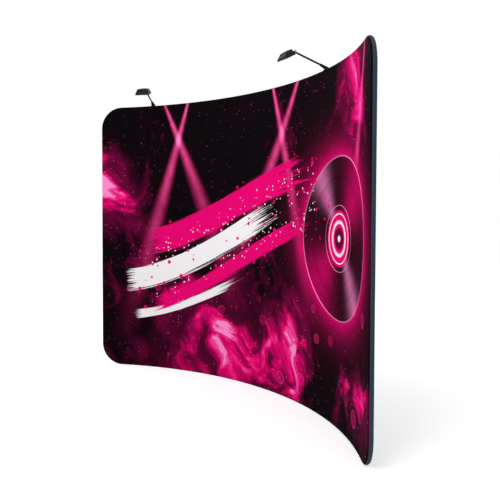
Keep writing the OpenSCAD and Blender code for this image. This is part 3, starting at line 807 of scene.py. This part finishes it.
def solids_of(node):
    """Points and faces of each separate solid of a CAD node, from a merged copy."""
    shape = bmesh.new()
    shape.from_mesh(frame["nodes"][node].data)
    bmesh.ops.remove_doubles(shape, verts=shape.verts, dist=1e-6)
    shape.verts.ensure_lookup_table()
    shape.verts.index_update()
    shape.faces.index_update()
    solids, seen = [], set()
    for first in shape.faces:
        if first.index in seen:
            continue
        seen.add(first.index)
        joined = [first]
        for face in joined:
            for vertex in face.verts:
                for near in vertex.link_faces:
                    if near.index not in seen:
                        seen.add(near.index)
                        joined.append(near)
        used = sorted({vertex.index for face in joined for vertex in face.verts})
        place = {index: i for i, index in enumerate(used)}
        points = [shape.verts[index].co.copy() for index in used]
        solids.append((points, [tuple(place[v.index] for v in face.verts) for face in joined]))
    shape.free()
    return solids


def give(node, material):
    """Gives a CAD node its material."""
    slots = frame["nodes"][node].data.materials
    slots.clear()
    slots.append(material)


# ---- Geometry Nodes ----


class Recipe:
    """A Geometry Nodes tree with one way to add a node."""

    def __init__(self, name, **inputs):
        self.tree = bpy.data.node_groups.new(name, "GeometryNodeTree")
        face = self.tree.interface
        face.new_socket("Geometry", in_out="INPUT", socket_type="NodeSocketGeometry")
        for key, (kind, value) in inputs.items():
            socket = face.new_socket(key, in_out="INPUT", socket_type=kind)
            if value is not None:
                socket.default_value = value
        face.new_socket("Geometry", in_out="OUTPUT", socket_type="NodeSocketGeometry")
        self.start = self.tree.nodes.new("NodeGroupInput")

    def add(self, kind, settings=None, inputs=None, output=0):
        node = self.tree.nodes.new(kind)
        for key, value in (settings or {}).items():
            setattr(node, key, value)
        for key, value in (inputs or {}).items():
            if isinstance(value, bpy.types.NodeSocket):
                self.tree.links.new(value, node.inputs[key])
            else:
                node.inputs[key].default_value = value
        return node.outputs[output]

    def end(self, geometry, material):
        """Ends the tree in real geometry with its material."""
        real = self.add("GeometryNodeRealizeInstances", None, {0: geometry})
        values = {"Geometry": real, "Material": material}
        finished = self.add("GeometryNodeSetMaterial", None, values)
        out = self.tree.nodes.new("NodeGroupOutput")
        self.tree.links.new(finished, out.inputs[0])

    def run(self, name, points, closed, values):
        """Runs the tree on a path and gives the result as a plain mesh object."""
        curve = bpy.data.curves.new(name + "_path", "CURVE")
        curve.dimensions = "3D"
        spline = curve.splines.new("POLY")
        spline.points.add(len(points) - 1)
        for point, place in zip(spline.points, points):
            point.co = (*place, 1.0)
        spline.use_cyclic_u = closed
        path = link(name + "_path", curve)
        modifier = path.modifiers.new("recipe", "NODES")
        modifier.node_group = self.tree
        ids = {s.name: s.identifier for s in self.tree.interface.items_tree if s.in_out == "INPUT"}
        for key, value in values.items():
            modifier[ids[key]] = value
        mesh = plain_mesh(path)
        mesh.name = name
        bpy.data.objects.remove(path)
        return link(name, mesh)


def repeat_along(name, points, pitch, item, material, closed=False):
    """Copies of an item along a path, a pitch apart, turned to follow it."""
    recipe = Recipe(
        name + "_recipe",
        Pitch=("NodeSocketFloat", pitch),
        Item=("NodeSocketObject", None),
        Finish=("NodeSocketMaterial", None),
    )
    start = recipe.start
    values = {0: start.outputs[0], "Length": start.outputs["Pitch"]}
    placed = recipe.add("GeometryNodeCurveToPoints", {"mode": "LENGTH"}, values).node
    values = {"Object": start.outputs["Item"]}
    shape = recipe.add("GeometryNodeObjectInfo", None, values, "Geometry")
    values = {"Vector": placed.outputs["Tangent"]}
    facing = recipe.add("FunctionNodeAlignRotationToVector", {"axis": "X"}, values)
    values = {"Rotation": facing, "Vector": placed.outputs["Normal"]}
    way = {"axis": "Z", "pivot_axis": "X"}
    upright = recipe.add("FunctionNodeAlignRotationToVector", way, values)
    values = {"Points": placed.outputs["Points"], "Instance": shape, "Rotation": upright}
    copies = recipe.add("GeometryNodeInstanceOnPoints", None, values)
    recipe.end(copies, start.outputs["Finish"])
    values = {"Pitch": pitch, "Item": item, "Finish": material}
    return recipe.run(name, points, closed, values)


def small_solid(name, size, bevel):
    """Box with bevelled edges, kept out of the scene as an item to repeat."""
    shape = bmesh.new()
    bmesh.ops.create_cube(shape, size=1.0, matrix=Matrix.Diagonal((*size, 1.0)))
    bmesh.ops.bevel(shape, geom=shape.edges, offset=bevel, segments=1, affect="EDGES")
    mesh = bpy.data.meshes.new(name)
    shape.to_mesh(mesh)
    shape.free()
    mesh.shade_smooth()
    return bpy.data.objects.new(name, mesh)


# ---- Operators ----


class WALL_OT_front_cloth(bpy.types.Operator):
    """Makes the printed cloth of the front, stretched over the frame and round its edge"""

    bl_idname = "wall.front_cloth"
    bl_label = "Front cloth"

    def execute(self, context):
        settings = sizes()
        piece = cloth_piece("front_cloth", -1, printed_cloth())
        thicken(piece, settings.cloth_t)
        seal(piece)
        dress_cloth(piece, "front_panel")
        return {"FINISHED"}


def dress_cloth(piece, node):
    """Ties a cloth to the frame in place of its CAD node."""
    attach(piece, "frame")
    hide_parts(node)


class WALL_OT_back_cloth(bpy.types.Operator):
    """Makes the plain cloth of the back, with the slot for the zip"""

    bl_idname = "wall.back_cloth"
    bl_label = "Back cloth"

    def execute(self, context):
        settings = sizes()
        slot = (
            settings.curve_r * settings.zip_half,
            settings.zip_z - settings.zip_w / 2,
            settings.zip_z + settings.zip_w / 2,
        )
        piece = cloth_piece("back_cloth", 1, plain_cloth("navy_cloth", colours().navy), slot)
        thicken(piece, settings.cloth_t)
        seal(piece)
        dress_cloth(piece, "back_panel")
        return {"FINISHED"}


class WALL_OT_seam(bpy.types.Operator):
    """Makes the stitches along the seam between the two cloths"""

    bl_idname = "wall.seam"
    bl_label = "Seam stitches"

    def execute(self, context):
        settings = sizes()
        behind_seam = 0.07
        turn = behind_seam - settings.seam
        reach, back = settings.cover_r * math.cos(turn), settings.cover_r * math.sin(turn)
        points = [
            floor_cut(wall_point(s + out_s * reach, z + out_z * reach, back))
            for s, z, out_s, out_z in outline_path(cloth_columns())[:-1]
        ]
        thread = plain_thread("seam_thread", colours().thread)
        wide, thick, bevel = 0.0006, 0.0004, 0.00014
        item = small_solid("stitch", (settings.stitch * 0.72, wide, thick), bevel)
        stitches = repeat_along("seam_stitches", points, settings.stitch, item, thread, True)
        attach(stitches, "frame")
        return {"FINISHED"}


class WALL_OT_zip(bpy.types.Operator):
    """Makes the zip's woven tapes, its teeth and its end stops"""

    bl_idname = "wall.zip"
    bl_label = "Zip"

    def execute(self, context):
        settings = sizes()
        clear, split = 0.0002, 0.0004  # from the slot's edge, and from each tape to the middle
        half = settings.curve_r * settings.zip_half - clear
        edge = settings.zip_w / 2 - clear
        tape = Patchwork()
        columns = steps(-half, half, settings.cell)

        def at(s, z):
            return wall_point(s, settings.zip_z + z, settings.cover_r), (s, z)

        for low, high in ((-edge, -split), (split, edge)):
            tape.grid([[at(s, z) for s in columns] for z in steps(low, high, 0.004)])
        woven = plain_cloth("zip_tape", (0.012, 0.016, 0.024))
        piece = new_object("zip_tape", tape.vertices, tape.faces, woven, tape.uvs)
        face_forward(piece, 1)
        thicken(piece, settings.cloth_t)
        seal(piece)
        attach(piece, "frame")
        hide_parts("zip_chain")

        plastic = moulded("zip_teeth", (0.02, 0.023, 0.03), 0.35)
        wide, thick, bevel = 0.00375, 0.0016, 0.0003
        item = small_solid("tooth", (settings.tooth * 0.62, wide, thick), bevel)
        top = settings.cover_r + thick / 2
        ends = half - 0.008
        off_middle = 0.00108
        for name, side in (("zip_teeth_low", -1), ("zip_teeth_high", 1)):
            shift = side * settings.tooth / 4
            points = [
                wall_point(s, settings.zip_z + side * off_middle, top)
                for s in steps(-ends + shift, ends + shift, settings.cell)
            ]
            teeth = repeat_along(name, points, settings.tooth, item, plastic)
            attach(teeth, "frame")
        stops = Patchwork()
        depths = (settings.cover_r, top + 0.0011)
        for way in (-1, 1):
            across = way * (ends + 0.0025)
            box_on_wall(stops, across, settings.zip_z, depths, half_w=0.0015, half_h=0.004)
        bare = metal("zip_stop_metal", (0.5, 0.5, 0.5), 0.35)
        bar = new_object("zip_stops", stops.vertices, stops.faces, bare)
        bar.data.shade_flat()
        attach(bar, "frame")
        return {"FINISHED"}


def box_on_wall(pieces, across, up, depths, half_w, half_h):
    """Small block on the wall between two depths."""
    first = len(pieces.vertices)
    for depth in depths:
        for s, z in ((-1, -1), (1, -1), (1, 1), (-1, 1)):
            pieces.vertices.append(wall_point(across + s * half_w, up + z * half_h, depth))
            pieces.uvs.append((0.0, 0.0))
    ends = ((0, 1, 2, 3), (7, 6, 5, 4))
    sides = (*ends, (0, 4, 5, 1), (1, 5, 6, 2), (2, 6, 7, 3), (3, 7, 4, 0))
    pieces.faces += [tuple(first + i for i in side) for side in sides]


class WALL_OT_frame_metal(bpy.types.Operator):
    """Finishes the tubes, sleeves, buttons and the zip's metal"""

    bl_idname = "wall.frame_metal"
    bl_label = "Frame metal"

    def execute(self, context):
        tube = metal("anodised_tube", (0.72, 0.73, 0.75), 0.32, (0.05, 0.05, 1.0))
        sleeve = metal("mill_sleeve", (0.62, 0.63, 0.65), 0.4)
        button = metal("button_plate", (0.75, 0.75, 0.76), 0.14)
        gunmetal = metal("zip_gunmetal", (0.16, 0.16, 0.17), 0.3)
        for node in frame["nodes"]:
            if "rail" in node or node.startswith(("corner_", "centre_post")):
                give(node, tube)
            elif node == "joint_spigots":
                give(node, sleeve)
            elif node.startswith("button_") and node != "button_springs":
                give(node, button)
            elif node in ("zip_slider", "zip_pull"):
                give(node, gunmetal)
        return {"FINISHED"}


class WALL_OT_button_springs(bpy.types.Operator):
    """Makes the leaf springs of the snap buttons"""

    bl_idname = "wall.button_springs"
    bl_label = "Button springs"

    def execute(self, context):
        leaf = sizes().leaf_t
        steel = metal("spring_steel", (0.22, 0.23, 0.26), 0.3)
        springs = solids_of("button_springs")
        for joint in frame["joints"]:
            button = joint["child"]
            if not button.startswith("button_"):
                continue
            axis = Vector(joint["axis"])
            centre = middle(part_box(button))
            points, faces = min(springs, key=lambda solid: (middle(solid[0]) - centre).length)
            piece = new_object(button.replace("button", "leaf_spring"), points, faces, steel)
            piece.data.set_sharp_from_angle(angle=math.radians(35))
            heights = [axis.dot(point - centre) for point in points]
            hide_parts("button_springs")
            still = centre + axis * (max(heights) - leaf)
            moving = centre + axis * (min(heights) + leaf)
            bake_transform(piece)
        return {"FINISHED"}


class WALL_OT_lamp_finish(bpy.types.Operator):
    """Finishes the lamps' clamps, arms and heads"""

    bl_idname = "wall.lamp_finish"
    bl_label = "Lamp finishes"

    def execute(self, context):
        black = powder_coat("black_powder_coat", colours().black_metal)
        head = powder_coat("head_powder_coat", colours().head_metal, 0.38)
        rubber = moulded("liner_rubber", (0.014, 0.014, 0.014), 0.8, 500.0)
        plastic = moulded("black_plastic", (0.02, 0.02, 0.022), 0.5)
        steel = metal("plated_steel", (0.6, 0.6, 0.6), 0.28)
        parts = {
            "clamp_bracket": black,
            "clamp_pad": rubber,
            "clamp_screw": plastic,
            "arm_foot": black,
            "arm": black,
            "head_housing": head,
            "driver_cover": plastic,
            "lens": lamp_glass(),
            "bezel": black,
            "head_screws": steel,
            "cable_gland": plastic,
            "tilt_bolt": steel,
        }
        for side in LAMPS:
            for part, material in parts.items():
                give(f"{part}_{side}", material)
            give(f"led_board_{side}", board_and_chips(f"led_board_{side}"))
        give("clamp_liners", rubber)
        give("pan_bolts", steel)
        return {"FINISHED"}


class WALL_OT_stage(bpy.types.Operator):
    """Makes the floor, the light and the camera"""

    bl_idname = "wall.stage"
    bl_label = "Stage"

    def execute(self, context):
        make_floor()
        make_world()
        for place, size, power in (
            ((1.6, -5.2, 4.6), 4.0, 150.0),
            ((-4.2, -3.4, 3.6), 3.5, 60.0),
            ((0.5, 3.8, 4.2), 4.0, 90.0),
        ):
            soft_light(place, size, power)
        make_camera()
        return {"FINISHED"}


def make_floor():
    """Pale floor that looks white to the camera but keeps the wall's shadow."""
    mesh = bpy.data.meshes.new("floor")
    wide = 30.0
    square = [(x * wide, y * wide, 0) for x, y in ((-1, -1), (1, -1), (1, 1), (-1, 1))]
    mesh.from_pydata(square, [], [(0, 1, 2, 3)])
    finish = Finish("pale_floor")
    place = finish.place()
    grain = finish.noise(place, 40.0, 3.0)
    tint = colours().floor
    base = finish.mix(grain, shaded(tint, 0.985), tint)
    matt = finish.add("ShaderNodeBsdfDiffuse", None, {"Color": base, "Roughness": 0.5})
    ray = finish.add("ShaderNodeLightPath", None, None, "Is Camera Ray")
    across, back, _ = finish.split(place)
    far = (across * across + back * back).root()
    # painted light: the camera-ray lift grows from 0.37 within 2 m of the wall to 0.44 beyond 6 m,
    # making up for the lamps' weaker light on the far floor
    glow = ray * (far.rise(2.0, 6.0) * 0.07 + 0.37)
    lift = finish.add("ShaderNodeEmission", None, {"Color": WHITE, "Strength": glow})
    both = finish.add("ShaderNodeAddShader", None, {0: matt, 1: lift})
    finish.add("ShaderNodeOutputMaterial", None, {0: both})
    mesh.materials.append(finish.owner)
    floor = link("floor", mesh)


def make_world():
    """Even white light on the object, and plain white where the camera or a reflection sees it."""
    studio = Finish("studio", "worlds")
    camera, glossy, through = (
        studio.add("ShaderNodeLightPath", None, None, f"Is {kind} Ray")
        for kind in ("Camera", "Glossy", "Transmission")
    )
    light = studio.add("ShaderNodeBackground", None, {"Color": WHITE, "Strength": 0.62})
    seen = studio.add("ShaderNodeBackground", None, {"Color": WHITE})
    mix = studio.add(
        "ShaderNodeMixShader", None, {0: camera.high(glossy).high(through), 1: light, 2: seen}
    )
    studio.add("ShaderNodeOutputWorld", None, {0: mix})
    bpy.context.scene.world = studio.owner


def soft_light(place, size, power):
    """Round lamp that faces the middle of the wall."""
    lamp = bpy.data.lights.new("soft_light", "AREA")
    lamp.shape = "DISK"
    lamp.size = size
    lamp.energy = power
    thing = link("soft_light", lamp)
    aim = Vector((0.0, -0.2, 1.1)) - Vector(place)
    thing.rotation_euler = aim.to_track_quat("-Z", "Y").to_euler()
    thing.location = place


def make_camera():
    """Camera at the photograph's place: low on the right, turned well to the left."""
    place = Vector((3.4853, -3.1546, 1.3494))
    yaw, pitch, roll = (math.radians(a) for a in (-53.42, -1.868, -0.081))
    level = math.cos(pitch)
    ahead = Vector((math.sin(yaw) * level, math.cos(yaw) * level, math.sin(pitch)))
    right = Vector((math.cos(yaw), -math.sin(yaw), 0.0))
    turned = Matrix.Rotation(roll, 3, ahead)
    right, up = turned @ right, turned @ right.cross(ahead)
    camera = bpy.data.cameras.new("camera")
    photo_px, focal_px, middle_px = 500.0, 610.1, (207.08, 234.46)
    camera.sensor_width = 36.0
    camera.lens = focal_px * camera.sensor_width / photo_px
    camera.shift_x = (photo_px / 2 - middle_px[0]) / photo_px
    camera.shift_y = (middle_px[1] - photo_px / 2) / photo_px
    camera.clip_end = 100.0
    thing = link("camera", camera)
    axes = Matrix((right, up, -ahead)).transposed().to_4x4()
    thing.matrix_world = Matrix.Translation(place) @ axes
    bpy.context.scene.camera = thing


class WALL_PT_panel(bpy.types.Panel):
    """Lists the wall's operators and settings"""

    bl_idname = "WALL_PT_panel"
    bl_label = "Display Wall"
    bl_space_type = "VIEW_3D"
    bl_region_type = "UI"
    bl_category = "Display Wall"

    def draw(self, context):
        layout = self.layout
        for operator in OPERATORS:
            layout.operator(operator.bl_idname)
        for group in (context.scene.wall_sizes, context.scene.wall_colours):
            box = layout.box()
            for key in group.__annotations__:
                box.prop(group, key)


OPERATORS = (
    WALL_OT_front_cloth,
    WALL_OT_back_cloth,
    WALL_OT_seam,
    WALL_OT_zip,
    WALL_OT_frame_metal,
    WALL_OT_button_springs,
    WALL_OT_lamp_finish,
    WALL_OT_stage,
)
CLASSES = (WallSizes, WallColours, *OPERATORS, WALL_PT_panel)


def register():
    for item in CLASSES:
        bpy.utils.register_class(item)
    bpy.types.Scene.wall_sizes = bpy.props.PointerProperty(type=WallSizes)
    bpy.types.Scene.wall_colours = bpy.props.PointerProperty(type=WallColours)


def unregister():
    del bpy.types.Scene.wall_colours
    del bpy.types.Scene.wall_sizes
    for item in reversed(CLASSES):
        bpy.utils.unregister_class(item)


def main():
    """Makes the whole scene."""
    register()
    bpy.context.scene.view_settings.view_transform = "Standard"
    for operator in OPERATORS:
        group, name = operator.bl_idname.split(".")
        getattr(getattr(bpy.ops, group), name)()


if __name__ == "__main__":
    main()
